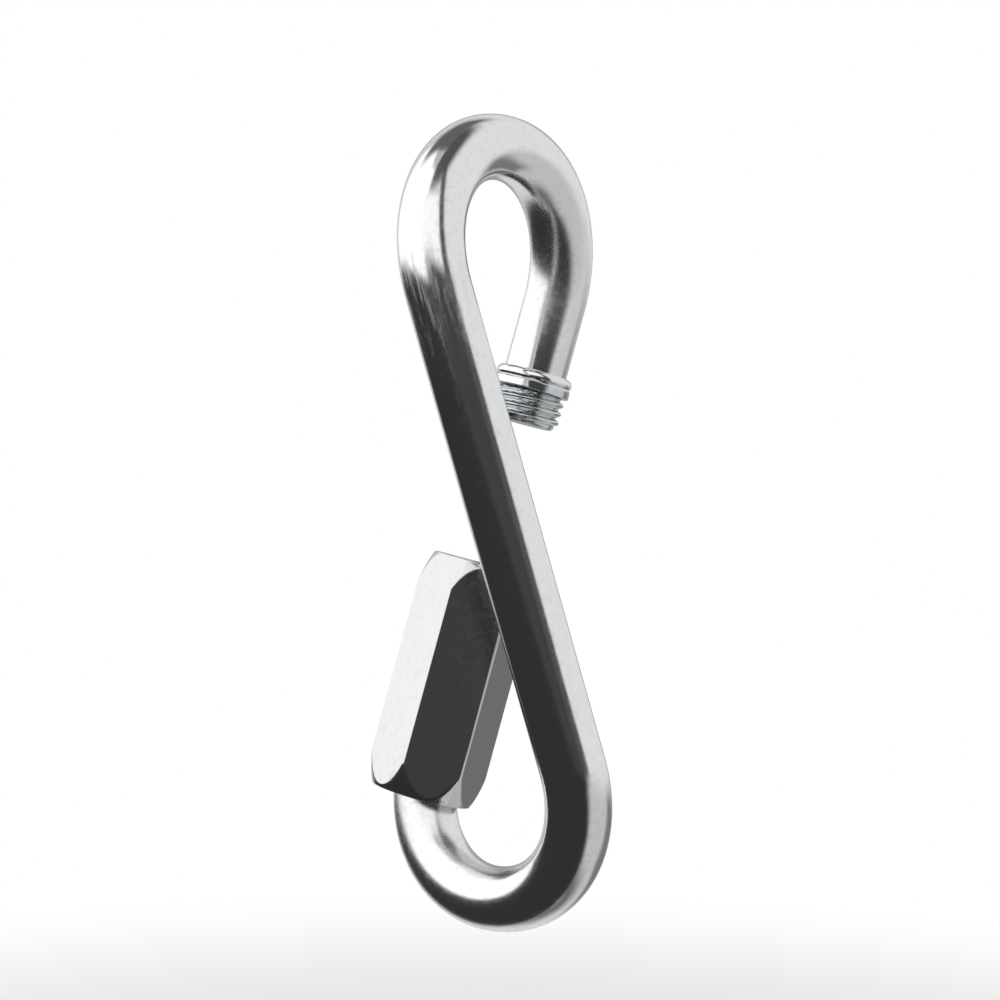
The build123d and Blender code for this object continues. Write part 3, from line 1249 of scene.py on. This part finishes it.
    @staticmethod
    def _staged(name: str, shape: bmesh.types.BMesh) -> tuple[bpy.types.Object, Tree]:
        """Puts a shape on the stage, with an empty material.

        Args:
            name: the object's name.
            shape: its shape, which is freed.

        Returns:
            The object, and its material's empty tree.
        """
        mesh = bpy.data.meshes.new(name)
        shape.to_mesh(mesh)
        shape.free()
        made = new_object(name, mesh)
        material = bpy.data.materials.new(name + "_paper")
        mesh.materials.append(material)
        return made, Tree.of(material)

    def _floor(self) -> None:
        """The pale floor, which fades into the backdrop."""
        lowest = cad_bounds[0].z - self.floor_drop
        spot = Matrix.Translation((self.centre.x, self.centre.y, lowest))
        disc = bmesh.new()
        bmesh.ops.create_circle(
            disc,
            cap_ends=True,
            segments=self.floor_sides,
            radius=self.floor_radius,
            matrix=spot,
        )
        floor, tree = self._staged("floor", disc)
        floor.visible_glossy = False
        place = tree.sock("ShaderNodeTexCoord", out="Object")
        from_centre = tree.vector("SUBTRACT", place, tuple(self.centre))
        reach = tree.vector("LENGTH", from_centre, out="Value")
        values = {
            0: tree.smooth_step(reach, *self.floor_fade),
            1: tree.sock("ShaderNodeBsdfDiffuse", None, {"Color": self.floor_colour}),
            2: tree.sock("ShaderNodeEmission", None, {"Color": WHITE, "Strength": 1.0}),
        }
        mix = tree.sock("ShaderNodeMixShader", None, values)
        tree.node("ShaderNodeOutputMaterial", None, {"Surface": mix})

    def _backdrop(self) -> None:
        """A plain white dome that only the camera sees."""
        dome = bmesh.new()
        bmesh.ops.create_uvsphere(
            dome,
            u_segments=self.backdrop_sides,
            v_segments=self.backdrop_sides // 2,
            radius=self.backdrop_radius,
        )
        backdrop, tree = self._staged("backdrop", dome)
        glow = tree.sock("ShaderNodeEmission", None, {"Color": WHITE, "Strength": 1.0})
        tree.node("ShaderNodeOutputMaterial", None, {"Surface": glow})
        for ray in ("diffuse", "glossy", "transmission", "volume_scatter", "shadow"):
            setattr(backdrop, "visible_" + ray, False)

    def _key_light(self) -> None:
        """A large soft box above and to the left, which gives the floor its soft shadow."""
        lamp = bpy.data.lights.new("key_light", "AREA")
        lamp.energy, lamp.size = self.lamp_power, self.lamp_size
        light = new_object("key_light", lamp)
        back = self._outward(self.azimuth + self.lamp_aside, self.lamp_elevation)
        light.location = self.centre + back * self.lamp_distance
        light.rotation_mode = "QUATERNION"
        light.rotation_quaternion = back.to_track_quat("Z", "Y")
        light.visible_glossy = False

    def _camera(self) -> None:
        """The camera, at eye level with the link and a little to its left."""
        back = self._outward(self.azimuth, self.elevation)
        level = self._outward(self.azimuth + 90.0, 0.0)
        upright = back.cross(level)
        roll = math.radians(self.roll)
        right = level * math.cos(roll) + upright * math.sin(roll)
        up = upright * math.cos(roll) - level * math.sin(roll)
        data = bpy.data.cameras.new("camera")
        data.lens, data.sensor_width = self.lens, self.sensor
        data.clip_start, data.clip_end = self.clip
        camera = new_object("camera", data)
        camera.rotation_mode = "QUATERNION"
        camera.rotation_quaternion = Matrix((right, up, back)).transposed().to_quaternion()
        camera.location = self.centre + back * self.distance + right * self.aside + up * self.above
        bpy.context.scene.camera = camera


def main() -> None:
    """Builds the link's pieces in order and sets up the studio."""
    logging.basicConfig(level=logging.INFO, format="%(name)s: %(message)s")
    leg = Leg(frame["record"], frame["joints"])
    screw = Screw(leg)
    bar_zinc = BrightZinc("zinc_plated_bar", Wear.DRAWN)
    nut_zinc = BrightZinc(
        "zinc_plated_nut",
        Wear.MILLED,
        tint=(0.71, 0.71, 0.715, 1.0),
        shade=(0.63, 0.63, 0.64, 1.0),
        roughness=0.14,
    )
    BentBar("bent_bar", "bar", "link_bar", bar_zinc, screw).build()
    HexagonSleeve("hexagon_sleeve", "nut", "sleeve_nut", nut_zinc, screw).build()
    SleeveLip("sleeve_lip", "nut_carriage", "nut_lower_lip", nut_zinc, screw).build()
    middle = -leg.sizes.inside_length / 2 * METRES_PER_MM
    Studio(centre=Vector((0, 0, middle))).build()


if __name__ == "__main__":
    main()
